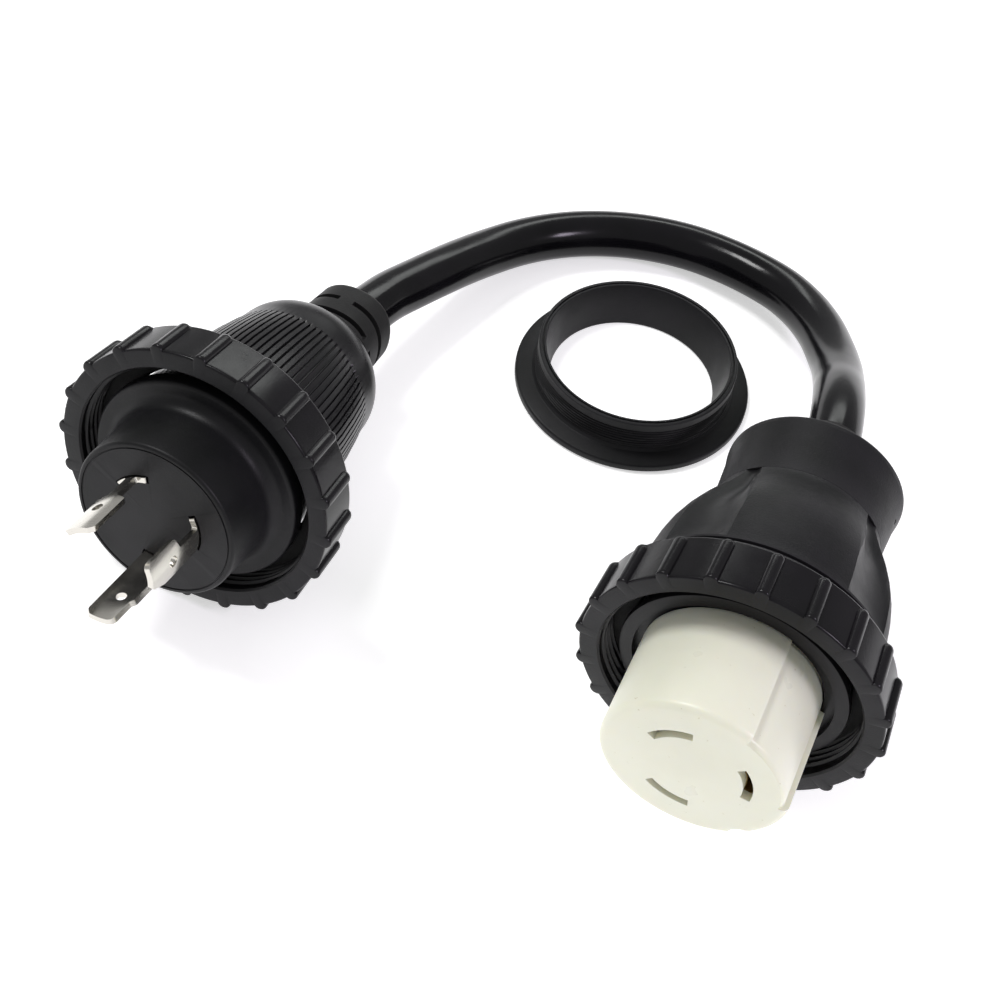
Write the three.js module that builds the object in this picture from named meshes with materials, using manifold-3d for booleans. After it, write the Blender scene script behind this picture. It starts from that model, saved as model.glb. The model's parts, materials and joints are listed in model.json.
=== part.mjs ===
// RV power adapter dogbone: a short cable with a 30 A locking plug on one end and a 50 A locking
// connector on the other, and a loose threaded adapter ring.
// Millimetres, +Z up, standing on z = 0. Each plug is built in its own frame: +Z points out of its
// face along the plug's axis, z = 0 is the plane of its collar's front face, and +Y is its top.
import * as THREE from "three";
import { mergeVertices } from "three/addons/utils/BufferGeometryUtils.js";
import Module from "manifold-3d";

const wasm = await Module();
wasm.setup();

// ---- driving dimensions ----
const GAP = 0.3; // between pieces that touch or rest on each other
const RAD = Math.PI / 180;
const ROUND = 32; // sides of a large round piece
const SMALL_ROUND = 10; // sides of a screw head or a small bore

const CABLE_R = 7.5;
const CABLE_BORE_R = CABLE_R + 0.5;
const WIRE_R = 2.1;
const WIRE_PITCH_R = 3.3; // distance of each conductor from the cable's axis

const COLLAR = { frontR: 38, rearR: 37.2, boreR: 32.7, width: 14, lipR: 27.4, lipWidth: 2.8 };
const LUG = { count: 20, phase: 1, halfWidth: 1.7, frontR: 39.4, rearR: 38.7, innerR: 36 };
const GASKET = { innerR: 28.2, width: 2 };
const SHOULDER = { r: 28.8, front: -1, rear: -5 };

// Male plug, 30 A.
const NOSE = { r: 22.1, baseR: 22.9, face: 16.5, wall: 2, pocketR: 17.5, stemR: 24.4, stemEnd: -20 };
const GRIP = { neckR: 26.5, endR: 22.5, taperEnd: -51, domeEnd: -64.6, boreR: 24.8, cavityR: 20.4 };
const BLADE = { innerR: 11.3, outerR: 12.8, half: 4.5, neckFrom: 17, neckTo: 24.5, slant: 0.8, chamfer: 1.4 };
const BLADE_MID_R = (BLADE.innerR + BLADE.outerR) / 2;
const BLADE_TAIL = -13;
const BLADE_SLOT_HALF = 24; // degrees each side of a blade that its slot in the nose reaches
// Across each blade: the edges of its neck, its far tip corner cut back, and its near edge's last step.
const BLADES = {
  hot: { angle: 125, tip: 38.5, neck: [-1.7, 0.9], corner: [1.4, 1.4], edge: 4.5 },
  neutral: { angle: 11, tip: 36.5, neck: [-4.5, 1.6], corner: [2.4, 5.5], edge: 4.5 },
  ground: { angle: -79, tip: 41.5, neck: [-4.5, 1], corner: [1.4, 1.4], edge: 3.4 },
};
const EDGE_STEP = 8; // from a blade's tip back to where its edge steps in
const DETENT = { back: 8.6, r: 1.4 };
const CRIMP = { boreR: 1.2, r: 2.5, from: -18.6, to: -13.3 };
const MALE_WIRE = { terminal: -18.9, jacket: -43.7 };
const JACKET_CLAMP = { r: 9.4, from: -52.5, to: -48.5 };
const RELIEF = { baseR: 13.5, tipR: 12.5, front: -64.9, end: -87.1, grooves: [-80.7, -73.2], grooveR: 9.9 };
const GROOVE_HALF = 0.9;

// Female connector, 50 A.
const INSERT = { r: 23.2, face: 24.7, edge: 1.8, base: -5, stemR: 21.8, stemEnd: -18 };
const KEYWAY = { from: 0, to: 66, depth: 1.3 };
const NOTCH = { angle: -48, width: 5, depth: 1.1 };
const SLOT = { angles: { hot: 17, neutral: 125, ground: -106 }, r: 13.4, half: 24, width: 2.4 };
const CONTACT = { innerR: 11.1, outerR: 15.7, half: 27, front: 22.2, blockEnd: -15 };
const TAB = { half: 15, halfThick: 1.1, end: -31 };
const TERMINAL_SCREW = { z: -26, holeR: 1.9, shankR: 1.5, headR: 3, headFrom: 1.5, headTo: 3.6 };
const FEMALE_WIRE = { terminal: -31.4, jacket: -56.7 };
const RETAINER = { back: -21.2, slotHalf: 17.5, slotHalfThick: 1.5, screwR: 17, screwTurn: 60, holeR: 1.9 };
const SHELL = {
  front: -3.2, seatR: 25.3, neckR: 26.3, flangeR: 33.5, flangeFront: -16.2, flangeEnd: -18.8, bellyR: 31.6,
  waistR: 22.6, end: -54,
};
const TAIL = { frontR: 22.6, rearR: 24, front: -54.3, end: -72.3, wall: 2.6, cavityR: 20, holeR: 10.9 };
const TAIL_PINHOLE = { angle: 12, z: -66, r: 0.8 };
const GROMMET = { bodyR: 10.6, tipR: 8.8, flangeR: 13, front: -66, end: -88 };
const CLAMP = { outerR: 12, from: -66, to: -57, earOut: 17.5, earHalf: 4, screwAt: 14.8, screwR: 1.5 };
const CLAMP_SPLIT = 0.4; // half of the gap between the two saddles

const RING = { flangeR: 36.3, flange: 2.6, hubR: 30.5, height: 14, boreTopR: 28.2, boreBottomR: 25.4 };

// Where each plug lies: the middle of its collar's front face, and the way its face points.
const MALE_PLACE = { at: [-71.3, -37.6, 40.8], azimuth: 252.3, elevation: 10.7 };
const FEMALE_PLACE = { at: [66, -69.5, 39.4], azimuth: 253.6, elevation: 0 };
const RING_PLACE = [38.7, 63.5, 0];

// The cable's middle line, from inside the male plug round the back to inside the female one.
const CABLE_ROUTE = [
  [-58.2, 3.6, 32.6], [-51.6, 24.2, 28.5], [-44.9, 45.2, 24.4], [-41.2, 53.6, 22.7], [-37.8, 60.6, 21.1],
  [-32, 69.6, 18.9], [-25.4, 79.3, 16.6], [-19, 88.7, 14], [-12.1, 97.7, 11.5], [-3.6, 106.4, 9.7],
  [6.2, 113.5, 8.5], [17.1, 118.5, 7.9], [28.9, 121.5, 7.6], [41, 122.3, 7.6], [53, 121, 7.7],
  [64, 117.1, 8.4], [74, 111.6, 9.4], [82.8, 104.2, 11], [89.5, 94.6, 13.1], [93.8, 83.5, 15.9],
  [96, 71.6, 19.3], [96.8, 60.3, 23.4], [96.1, 49.4, 28.2], [94.7, 39.2, 33.5], [93.2, 28.7, 37.4],
  [91.1, 15.9, 39.4], [86.9, 1.5, 39.4], [82.1, -14.8, 39.4],
];
const CABLE_SIDES = 10;
const CABLE_STEPS = 32;

// ---- materials ----
function material(color, roughness, metalness = 0) {
  return new THREE.MeshStandardMaterial({ color, roughness, metalness });
}
const BLACK_GLOSS = material(0x121214, 0.3);
const BLACK_SATIN = material(0x1a1b1d, 0.5);
const BLACK_RUBBER = material(0x101010, 0.7);
const BLACK_JACKET = material(0x0d0d0f, 0.25);
const IVORY = material(0xe9ebdb, 0.4);
const NICKEL = material(0xc9c4b8, 0.25, 1);
const BRASS = material(0xc8a04a, 0.35, 1);
const STEEL = material(0xa8a8a8, 0.35, 1);
const WIRE_COLOURS = {
  hot: material(0x16171a, 0.5),
  neutral: material(0xe4e4e0, 0.5),
  ground: material(0x2c7a3c, 0.5),
};

// ---- solids ----
// A closed geometry as a solid; a geometry that faces inwards is turned round.
function solid(geometry) {
  const bare = new THREE.BufferGeometry();
  bare.setAttribute("position", geometry.getAttribute("position"));
  bare.setIndex(geometry.index);
  const merged = mergeVertices(bare, 1e-4);
  const triVerts = new Uint32Array(merged.index.array);
  const vertProperties = merged.attributes.position.array;
  const made = new wasm.Manifold(new wasm.Mesh({ numProp: 3, vertProperties, triVerts }));
  if (made.volume() > 0) return made;
  for (let i = 0; i < triVerts.length; i += 3) {
    [triVerts[i + 1], triVerts[i + 2]] = [triVerts[i + 2], triVerts[i + 1]];
  }
  return new wasm.Manifold(new wasm.Mesh({ numProp: 3, vertProperties, triVerts }));
}

function geometryOf(made) {
  const mesh = made.getMesh();
  const positions = new Float32Array(mesh.numVert * 3);
  for (let i = 0; i < mesh.numVert; i++) {
    const start = i * mesh.numProp;
    positions.set(mesh.vertProperties.subarray(start, start + 3), i * 3);
  }
  const geometry = new THREE.BufferGeometry();
  geometry.setAttribute("position", new THREE.BufferAttribute(positions, 3));
  geometry.setIndex(new THREE.BufferAttribute(mesh.triVerts, 1));
  geometry.computeVertexNormals();
  return geometry;
}

// A ring or disc about Z from its outline as [radius, z] points.
function turned(outline, sides = ROUND) {
  const points = outline.map(([r, z]) => new THREE.Vector2(r, z));
  const first = points[0];
  if (first.x > 0) points.push(first.clone());
  return solid(new THREE.LatheGeometry(points, sides).rotateX(Math.PI / 2));
}

// A tube wall about Z between two radii.
function wall(innerR, outerR, from, to, sides = ROUND) {
  return turned([[innerR, from], [outerR, from], [outerR, to], [innerR, to]], sides);
}

function rod(r, from, to, sides = SMALL_ROUND) {
  const height = to - from;
  const geometry = new THREE.CylinderGeometry(r, r, height, sides).rotateX(Math.PI / 2);
  return solid(geometry.translate(0, 0, from + height / 2));
}

// A rod along the radius at an angle about Z, between two distances from the axis.
function radialRod(r, innerR, outerR, angle, z, sides = SMALL_ROUND) {
  const length = outerR - innerR;
  const geometry = new THREE.CylinderGeometry(r, r, length, sides).rotateZ(-Math.PI / 2);
  geometry.translate(innerR + length / 2, 0, z).rotateZ(angle * RAD);
  return solid(geometry);
}

// A curved bar about Z: a sector between two radii, half degrees each side of an angle.
function sector(innerR, outerR, angle, half, from, to, steps = 4) {
  const shape = new THREE.Shape();
  const start = (angle - half) * RAD;
  const end = (angle + half) * RAD;
  shape.absarc(0, 0, outerR, start, end, false);
  shape.absarc(0, 0, innerR, end, start, true);
  const options = { depth: to - from, bevelEnabled: false, curveSegments: steps };
  return solid(new THREE.ExtrudeGeometry(shape, options).translate(0, 0, from));
}

function box(width, depth, height, x, y, z) {
  return solid(new THREE.BoxGeometry(width, depth, height).translate(x, y, z));
}

function tube(points, r, sides, steps) {
  const section = new THREE.Shape();
  for (let i = 0; i < sides; i++) {
    const turn = (2 * Math.PI * i) / sides;
    section[i ? "lineTo" : "moveTo"](r * Math.cos(turn), r * Math.sin(turn));
  }
  const path = new THREE.CatmullRomCurve3(points, false, "centripetal");
  const options = { steps, extrudePath: path, bevelEnabled: false };
  return solid(new THREE.ExtrudeGeometry(section, options));
}

function polar(r, angle, z) {
  return new THREE.Vector3(r * Math.cos(angle * RAD), r * Math.sin(angle * RAD), z);
}

// A quarter round on an outline, from one angle to another about a centre, as [radius, z] points.
function arc(centreR, centreZ, r, from, to, steps = 4) {
  const points = [];
  for (let i = 0; i <= steps; i++) {
    const turn = (from + ((to - from) * i) / steps) * RAD;
    points.push([centreR + r * Math.cos(turn), centreZ + r * Math.sin(turn)]);
  }
  return points;
}

function node(group, name, made, look) {
  const mesh = new THREE.Mesh(geometryOf(made), look);
  mesh.name = name;
  group.add(mesh);
}

// ---- pieces that both plugs have ----
// The locking collar: a ring with a threaded mouth, a lip behind that holds it on the plug, and
// rounded grip lugs round its rim.
function collar() {
  const { frontR, rearR, boreR, width, lipR, lipWidth } = COLLAR;
  const lipFront = lipWidth - width;
  let made = turned([
    [lipR, -width], [rearR - 0.8, -width], [rearR, -width + 0.8], [frontR, -0.8], [frontR - 0.8, 0],
    [boreR + 0.6, 0], [boreR, -0.6], [boreR, lipFront], [lipR, lipFront],
  ]);
  for (let i = 0; i < LUG.count; i++) {
    const outline = new THREE.Shape();
    outline.moveTo(LUG.innerR, LUG.halfWidth);
    outline.lineTo(LUG.frontR, LUG.halfWidth * 0.6);
    outline.lineTo(LUG.frontR, -LUG.halfWidth * 0.6);
    outline.lineTo(LUG.innerR, -LUG.halfWidth);
    const options = { depth: width - 1, bevelEnabled: false };
    const lug = new THREE.ExtrudeGeometry(outline, options).translate(0, 0, 0.5 - width);
    const place = lug.getAttribute("position");
    for (let k = 0; k < place.count; k++) {
      if (place.getZ(k) < -width / 2 && place.getX(k) > LUG.innerR + 0.1) {
        place.setX(k, place.getX(k) - (LUG.frontR - LUG.rearR));
      }
    }
    made = made.add(solid(lug.rotateZ((LUG.phase + (i * 360) / LUG.count) * RAD)));
  }
  return made;
}

function collarGasket() {
  const seat = COLLAR.lipWidth - COLLAR.width + GAP;
  return wall(GASKET.innerR, COLLAR.boreR - GAP, seat, seat + GASKET.width, 24);
}

// One insulated conductor, from behind its terminal to the end of the cable's jacket.
function conductor(angle, terminalR, terminalZ, jacketZ) {
  const middle = (terminalZ + jacketZ) / 2;
  const points = [
    polar(terminalR, angle, terminalZ),
    polar(terminalR, angle, terminalZ + (jacketZ - terminalZ) * 0.2),
    polar((terminalR + WIRE_PITCH_R) / 2, angle, middle),
    polar(WIRE_PITCH_R, angle, jacketZ + (terminalZ - jacketZ) * 0.2),
    polar(WIRE_PITCH_R, angle, jacketZ),
  ];
  return tube(points, WIRE_R, 8, 6);
}

// ---- male plug ----
// The outline of a blade across its width and along the plug, with the locking notch beside its neck.
function bladeOutline({ tip, neck, corner, edge }) {
  const { half, neckFrom, neckTo, slant, chamfer } = BLADE;
  const shape = new THREE.Shape();
  shape.moveTo(-half, BLADE_TAIL);
  shape.lineTo(half, BLADE_TAIL);
  shape.lineTo(half, neckFrom);
  shape.lineTo(neck[1], neckFrom);
  shape.lineTo(neck[1], neckTo);
  shape.lineTo(half, neckTo + slant);
  if (edge < half) {
    shape.lineTo(half, tip - EDGE_STEP);
    shape.lineTo(edge, tip - EDGE_STEP + slant);
  }
  shape.lineTo(edge, tip - chamfer);
  shape.lineTo(edge - chamfer, tip);
  shape.lineTo(-half + corner[0], tip);
  shape.lineTo(-half, tip - corner[1]);
  if (neck[0] > -half) {
    shape.lineTo(-half, neckTo + slant);
    shape.lineTo(neck[0], neckTo);
    shape.lineTo(neck[0], neckFrom);
    shape.lineTo(-half, neckFrom);
  }
  const detent = new THREE.Path();
  detent.absarc(0, tip - DETENT.back, DETENT.r, 0, 2 * Math.PI, true);
  shape.holes.push(detent);
  return shape;
}

function blade(form) {
  const options = { depth: 5, bevelEnabled: false, curveSegments: 6 };
  const outline = new THREE.ExtrudeGeometry(bladeOutline(form), options);
  const turn = new THREE.Matrix4().set(0, 0, 1, 9.5, 1, 0, 0, 0, 0, 1, 0, 0, 0, 0, 0, 1);
  outline.applyMatrix4(turn).rotateZ(form.angle * RAD);
  const { innerR, outerR } = BLADE;
  const shell = sector(innerR, outerR, form.angle, BLADE_SLOT_HALF, BLADE_TAIL - 1, form.tip + 1);
  return shell.intersect(solid(outline));
}

// The crimped socket on a blade's tail, which holds the stripped end of its conductor.
function crimp(angle) {
  const at = polar(BLADE_MID_R, angle, 0);
  return wall(CRIMP.boreR, CRIMP.r, CRIMP.from, CRIMP.to, 12).translate([at.x, at.y, 0]);
}

function noseCarrier() {
  const { r, baseR, face, wall: front, pocketR, stemR, stemEnd } = NOSE;
  let made = turned([
    [pocketR, stemEnd], [stemR, stemEnd], [stemR, SHOULDER.rear], [SHOULDER.r, SHOULDER.rear],
    [SHOULDER.r, SHOULDER.front - 0.8], [SHOULDER.r - 0.8, SHOULDER.front],
    ...arc(baseR + 2, SHOULDER.front + 2, 2, 270, 180),
    [r, face - 1], [r - 1, face], [0, face], [0, -front], [pocketR, -front],
  ]);
  for (const { angle } of Object.values(BLADES)) {
    const { innerR, outerR } = BLADE;
    const slot = sector(innerR - GAP, outerR + GAP, angle, BLADE_SLOT_HALF, -front - 1, face + 1);
    made = made.subtract(slot);
  }
  return made;
}

function gripShell() {
  const { neckR, endR, taperEnd, domeEnd, boreR, cavityR } = GRIP;
  const domeR = taperEnd - domeEnd - 4;
  return turned([
    [boreR, SHOULDER.rear - GAP], [neckR, SHOULDER.rear - GAP], [neckR, -22],
    [neckR - 0.6, -34], [endR, taperEnd],
    ...arc(endR - domeR, taperEnd - 2, domeR, 0, -70, 5),
    [RELIEF.baseR, domeEnd], [CABLE_BORE_R, domeEnd], [CABLE_BORE_R, taperEnd - 5],
    [cavityR - 4, taperEnd - 1], [cavityR, taperEnd + 5], [boreR - 3.2, -24], [boreR, NOSE.stemEnd - 1],
  ]);
}

// The stub of soft moulding round the cable, with two rows of flex grooves.
function strainRelief() {
  const { baseR, tipR, front, end, grooves, grooveR } = RELIEF;
  const slopeAt = (z) => baseR + ((tipR - baseR) * (z - front)) / (end - front);
  const outline = [[CABLE_BORE_R, end], [tipR, end]];
  for (const z of grooves) {
    const [from, to] = [z - GROOVE_HALF, z + GROOVE_HALF];
    outline.push([slopeAt(from), from], [grooveR, from], [grooveR, to], [slopeAt(to), to]);
  }
  outline.push([baseR, front], [CABLE_BORE_R, front]);
  return turned(outline, 20);
}

function jacketClamp() {
  return wall(CABLE_BORE_R, JACKET_CLAMP.r, JACKET_CLAMP.from, JACKET_CLAMP.to, 16);
}

function malePlug() {
  const group = new THREE.Group();
  node(group, "male_collar", collar(), BLACK_SATIN);
  node(group, "male_collar_gasket", collarGasket(), BLACK_RUBBER);
  node(group, "male_nose_carrier", noseCarrier(), BLACK_SATIN);
  node(group, "male_grip_shell", gripShell(), BLACK_GLOSS);
  node(group, "male_strain_relief", strainRelief(), BLACK_RUBBER);
  node(group, "male_jacket_clamp", jacketClamp(), STEEL);
  for (const [pole, form] of Object.entries(BLADES)) {
    const wire = conductor(form.angle, BLADE_MID_R, MALE_WIRE.terminal, MALE_WIRE.jacket);
    node(group, `male_${pole}_blade`, blade(form), NICKEL);
    node(group, `male_${pole}_crimp`, crimp(form.angle), BRASS);
    node(group, `male_${pole}_wire`, wire, WIRE_COLOURS[pole]);
  }
  return group;
}

// ---- female connector ----
function insert() {
  const { r, face, edge, base, stemR, stemEnd } = INSERT;
  let made = turned([
    [0, stemEnd], [stemR, stemEnd], [stemR, base], [r, base],
    ...arc(r - edge, face - edge, edge, 0, 90), [0, face],
  ]);
  const half = (KEYWAY.to - KEYWAY.from) / 2;
  const middle = (KEYWAY.to + KEYWAY.from) / 2;
  made = made.subtract(sector(r - KEYWAY.depth, r + 2, middle, half, base - 1, face + 1, 8));
  const bite = box(NOTCH.depth * 2, NOTCH.width, 8, r - 2.2, 0, face - 1);
  made = made.subtract(bite.rotate([0, 0, NOTCH.angle]));
  for (const angle of Object.values(SLOT.angles)) {
    const { innerR, outerR, front } = CONTACT;
    const mouth = sector(SLOT.r - SLOT.width / 2, SLOT.r + SLOT.width / 2, angle, SLOT.half, 20, face + 1);
    const pocket = sector(innerR - GAP, outerR + GAP, angle, CONTACT.half + 1.6, stemEnd - 1, front + GAP);
    made = made.subtract(mouth).subtract(pocket);
  }
  return made;
}

// A spring sleeve that grips a blade, on a terminal tab that reaches back past the insert.
function contact(angle) {
  const { innerR, outerR, half, front, blockEnd } = CONTACT;
  const [tabInner, tabOuter] = [SLOT.r - TAB.halfThick, SLOT.r + TAB.halfThick];
  const sleeve = sector(innerR, outerR, angle, half, blockEnd, front);
  const throat = sector(tabInner, tabOuter, angle, SLOT.half, blockEnd + 4, front + 1);
  const tab = sector(tabInner, tabOuter, angle, TAB.half, TAB.end, blockEnd + 1);
  const { holeR, z } = TERMINAL_SCREW;
  return sleeve.subtract(throat).add(tab).subtract(radialRod(holeR, innerR - 1, outerR + 1, angle, z));
}

function terminalScrew(angle) {
  const { z, shankR, headR, headFrom, headTo } = TERMINAL_SCREW;
  const shank = radialRod(shankR, SLOT.r - 2.4, SLOT.r + headFrom + 0.5, angle, z);
  return shank.add(radialRod(headR, SLOT.r + headFrom, SLOT.r + headTo, angle, z, 14));
}

// The plate that backs the insert, with a way through for each terminal tab.
function retainer() {
  const { back, slotHalf, slotHalfThick, holeR } = RETAINER;
  const front = INSERT.stemEnd - GAP;
  const [slotInner, slotOuter] = [SLOT.r - slotHalfThick, SLOT.r + slotHalfThick];
  let made = rod(INSERT.stemR, back, front, 24);
  for (const angle of Object.values(SLOT.angles)) {
    made = made.subtract(sector(slotInner, slotOuter, angle, slotHalf, back - 1, front + 1));
    made = made.subtract(rod(holeR, back - 1, front + 1, 12).translate(retainerScrewAt(angle)));
  }
  return made;
}

function retainerScrewAt(angle) {
  const at = polar(RETAINER.screwR, angle + RETAINER.screwTurn, 0);
  return [at.x, at.y, 0];
}

function retainerScrew(angle) {
  const { back, holeR } = RETAINER;
  const head = rod(3, back - 2.2, back - GAP, 14);
  const shank = rod(holeR - GAP, back - 1, INSERT.stemEnd - 0.4, 12);
  return head.add(shank).translate(retainerScrewAt(angle));
}

function femaleShell() {
  const { front, seatR, neckR, flangeR, flangeFront, flangeEnd, bellyR, waistR, end } = SHELL;
  const bore = INSERT.stemR + GAP;
  return turned([
    [bore, INSERT.base - GAP], [seatR, INSERT.base - GAP], [seatR, front], [SHOULDER.r - 0.8, front],
    [SHOULDER.r, front - 0.8], [SHOULDER.r, SHOULDER.rear], [neckR, SHOULDER.rear], [neckR, flangeFront],
    [flangeR, flangeFront], [flangeR, flangeEnd],
    [bellyR, flangeEnd - 1], [31.4, -28], [30, -36], [26.6, -46], [waistR + 0.6, end + 2],
    [waistR, end], [TAIL.cavityR, end], [20.6, -50], [24.4, -42], [27.6, -34], [28, -24],
    [bore, -21],
  ]);
}

function tailSleeve() {
  const { frontR, rearR, front, end, wall: thick, cavityR, holeR } = TAIL;
  const made = turned([
    [holeR, end + 1], [cavityR - 2, end + 1], [cavityR, end], [rearR, end], [rearR, end + 1.2],
    [frontR + 0.5, end + 7], [frontR, front], [cavityR, front], [cavityR, end + thick + 1],
    [holeR, end + thick + 1],
  ]);
  const { angle, z, r } = TAIL_PINHOLE;
  return made.subtract(radialRod(r, cavityR - 1, rearR + 1, angle, z, 8));
}

// Two saddles that squeeze the cable's jacket, pulled together by a screw on each side.
function clampHalf(side) {
  const { outerR, from, to, earOut, earHalf, screwAt } = CLAMP;
  const length = to - from;
  const middle = (from + to) / 2;
  let made = rod(outerR, from, to, 16);
  for (const x of [-1, 1]) {
    const reach = earOut - outerR + 2;
    made = made.add(box(reach, 2 * earHalf, length, x * (earOut - reach / 2), 0, middle));
  }
  made = made.subtract(rod(CABLE_BORE_R, from - 1, to + 1, 16));
  made = made.subtract(box(60, 40, length + 2, 0, side * (CLAMP_SPLIT - 20), middle));
  for (const x of [-1, 1]) {
    const hole = new THREE.CylinderGeometry(CLAMP.screwR + GAP, CLAMP.screwR + GAP, 30, 12);
    made = made.subtract(solid(hole.translate(x * screwAt, 0, middle)));
  }
  return made;
}

function clampScrew(x) {
  const { earHalf, screwR, screwAt, from, to } = CLAMP;
  const middle = (from + to) / 2;
  const shank = new THREE.CylinderGeometry(screwR, screwR, 2 * earHalf + 1, 12);
  const head = new THREE.CylinderGeometry(2.7, 2.7, 2, 14);
  head.translate(0, earHalf + 1.3, 0);
  shank.translate(0, 0.2, 0);
  return solid(shank).add(solid(head)).translate([x * screwAt, 0, middle]);
}

// The tapered boot through the tail's rear wall.
function grommet() {
  const { bodyR, tipR, flangeR, front, end } = GROMMET;
  const wallFront = TAIL.end + TAIL.wall + 1 + GAP;
  return turned([
    [CABLE_BORE_R, end], [tipR, end], [bodyR, TAIL.end - 2], [bodyR, wallFront],
    [flangeR, wallFront], [flangeR, front - GAP - 0.2], [CABLE_BORE_R, front - GAP - 0.2],
  ], 20);
}

function femaleConnector() {
  const group = new THREE.Group();
  node(group, "female_collar", collar(), BLACK_SATIN);
  node(group, "female_collar_gasket", collarGasket(), BLACK_RUBBER);
  node(group, "female_body_shell", femaleShell(), BLACK_SATIN);
  node(group, "female_tail_sleeve", tailSleeve(), BLACK_SATIN);
  node(group, "female_cable_grommet", grommet(), BLACK_RUBBER);
  node(group, "female_insert", insert(), IVORY);
  node(group, "female_insert_retainer", retainer(), BLACK_SATIN);
  node(group, "female_cord_clamp_upper", clampHalf(1), STEEL);
  node(group, "female_cord_clamp_lower", clampHalf(-1), STEEL);
  node(group, "female_clamp_screw_left", clampScrew(-1), STEEL);
  node(group, "female_clamp_screw_right", clampScrew(1), STEEL);
  for (const [pole, angle] of Object.entries(SLOT.angles)) {
    const wire = conductor(angle, SLOT.r, FEMALE_WIRE.terminal, FEMALE_WIRE.jacket);
    node(group, `female_${pole}_contact`, contact(angle), BRASS);
    node(group, `female_${pole}_terminal_screw`, terminalScrew(angle), STEEL);
    node(group, `female_${pole}_wire`, wire, WIRE_COLOURS[pole]);
    node(group, `female_retainer_screw_${pole}`, retainerScrew(angle), STEEL);
  }
  return group;
}

// ---- the loose ring and the cable ----
function adapterRing() {
  const { flangeR, flange, hubR, height, boreTopR, boreBottomR } = RING;
  return turned([
    [boreBottomR, 0], [flangeR - 0.8, 0], [flangeR, 0.6], [flangeR, flange], [hubR + 0.8, flange + 1],
    [hubR - 0.7, flange + 1.4], [hubR, flange + 2.4], [hubR, height - 1], [hubR - 0.8, height],
    [boreTopR, height], [boreBottomR, 1],
  ], 36);
}

function cableJacket() {
  const points = CABLE_ROUTE.map((point) => new THREE.Vector3(...point));
  return tube(points, CABLE_R, CABLE_SIDES, CABLE_STEPS);
}

// Turns a plug so that its +Z points along its azimuth and elevation with its +Y uppermost.
function lay(group, { at, azimuth, elevation }) {
  const flat = Math.cos(elevation * RAD);
  const facing = new THREE.Vector3(
    flat * Math.cos(azimuth * RAD), flat * Math.sin(azimuth * RAD), Math.sin(elevation * RAD),
  );
  const across = new THREE.Vector3(0, 0, 1).cross(facing).normalize();
  const top = facing.clone().cross(across);
  group.setRotationFromMatrix(new THREE.Matrix4().makeBasis(across, top, facing));
  group.position.set(...at);
  return group;
}

const adapter = new THREE.Group();
adapter.add(lay(malePlug(), MALE_PLACE));
adapter.add(lay(femaleConnector(), FEMALE_PLACE));
node(adapter, "cable_jacket", cableJacket(), BLACK_JACKET);
const ringGroup = new THREE.Group();
ringGroup.position.set(...RING_PLACE);
node(ringGroup, "thread_adapter_ring", adapterRing(), BLACK_SATIN);
adapter.add(ringGroup);

export default adapter;
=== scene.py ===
# The looks of the RV power adapter dogbone: camera, cable, detailed pieces, materials, lights.
# Outlines are [radius, z] in millimetres in each plug's own frame: +Z out of its face, z = 0 at the
# front of its collar, +Y its top. The loose ring's frame stands on the floor at the ring's middle.
import json
import math

import bmesh
import bpy
from mathutils import Matrix, Vector


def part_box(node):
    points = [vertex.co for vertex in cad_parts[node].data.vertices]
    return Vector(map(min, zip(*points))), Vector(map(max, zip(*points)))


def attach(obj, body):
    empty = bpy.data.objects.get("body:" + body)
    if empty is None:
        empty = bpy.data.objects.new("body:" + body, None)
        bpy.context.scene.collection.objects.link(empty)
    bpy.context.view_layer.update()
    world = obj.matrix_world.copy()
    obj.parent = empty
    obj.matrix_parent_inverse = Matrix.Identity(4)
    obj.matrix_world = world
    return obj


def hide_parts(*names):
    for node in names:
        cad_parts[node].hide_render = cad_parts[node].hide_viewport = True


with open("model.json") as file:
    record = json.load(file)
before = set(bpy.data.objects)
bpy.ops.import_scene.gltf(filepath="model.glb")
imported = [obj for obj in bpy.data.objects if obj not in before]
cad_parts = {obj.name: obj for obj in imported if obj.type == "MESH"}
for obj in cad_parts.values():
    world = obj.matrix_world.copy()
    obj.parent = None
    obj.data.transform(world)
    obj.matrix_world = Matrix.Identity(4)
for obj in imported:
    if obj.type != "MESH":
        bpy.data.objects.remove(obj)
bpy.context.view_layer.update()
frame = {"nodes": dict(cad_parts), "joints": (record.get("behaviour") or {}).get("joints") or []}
NODES = frame["nodes"]
JOINTS = {joint["name"]: joint for joint in frame["joints"]}
SCENE = bpy.context.scene
MM = 0.001
TAU = 2 * math.pi


# ---- camera ----
CAMERA_AT = (0.0052, -0.283, 0.3555)
CAMERA_DOWN = math.radians(50.7)
CAMERA_ROLL = math.radians(10)
SENSOR = 36.0
LENS = 57.6


def make_camera():
    data = bpy.data.cameras.new("camera")
    data.sensor_width, data.lens = SENSOR, LENS
    data.clip_start, data.clip_end = 0.01, 20
    camera = bpy.data.objects.new("camera", data)
    SCENE.collection.objects.link(camera)
    forward = Vector((0, math.cos(CAMERA_DOWN), -math.sin(CAMERA_DOWN)))
    level_up = Vector((0, math.sin(CAMERA_DOWN), math.cos(CAMERA_DOWN)))
    level_right = Vector((1, 0, 0))
    right = math.cos(CAMERA_ROLL) * level_right + math.sin(CAMERA_ROLL) * level_up
    up = math.cos(CAMERA_ROLL) * level_up - math.sin(CAMERA_ROLL) * level_right
    turn = Matrix((right, up, -forward)).transposed().to_4x4()
    camera.matrix_world = Matrix.Translation(CAMERA_AT) @ turn
    SCENE.camera = camera


make_camera()


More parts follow.
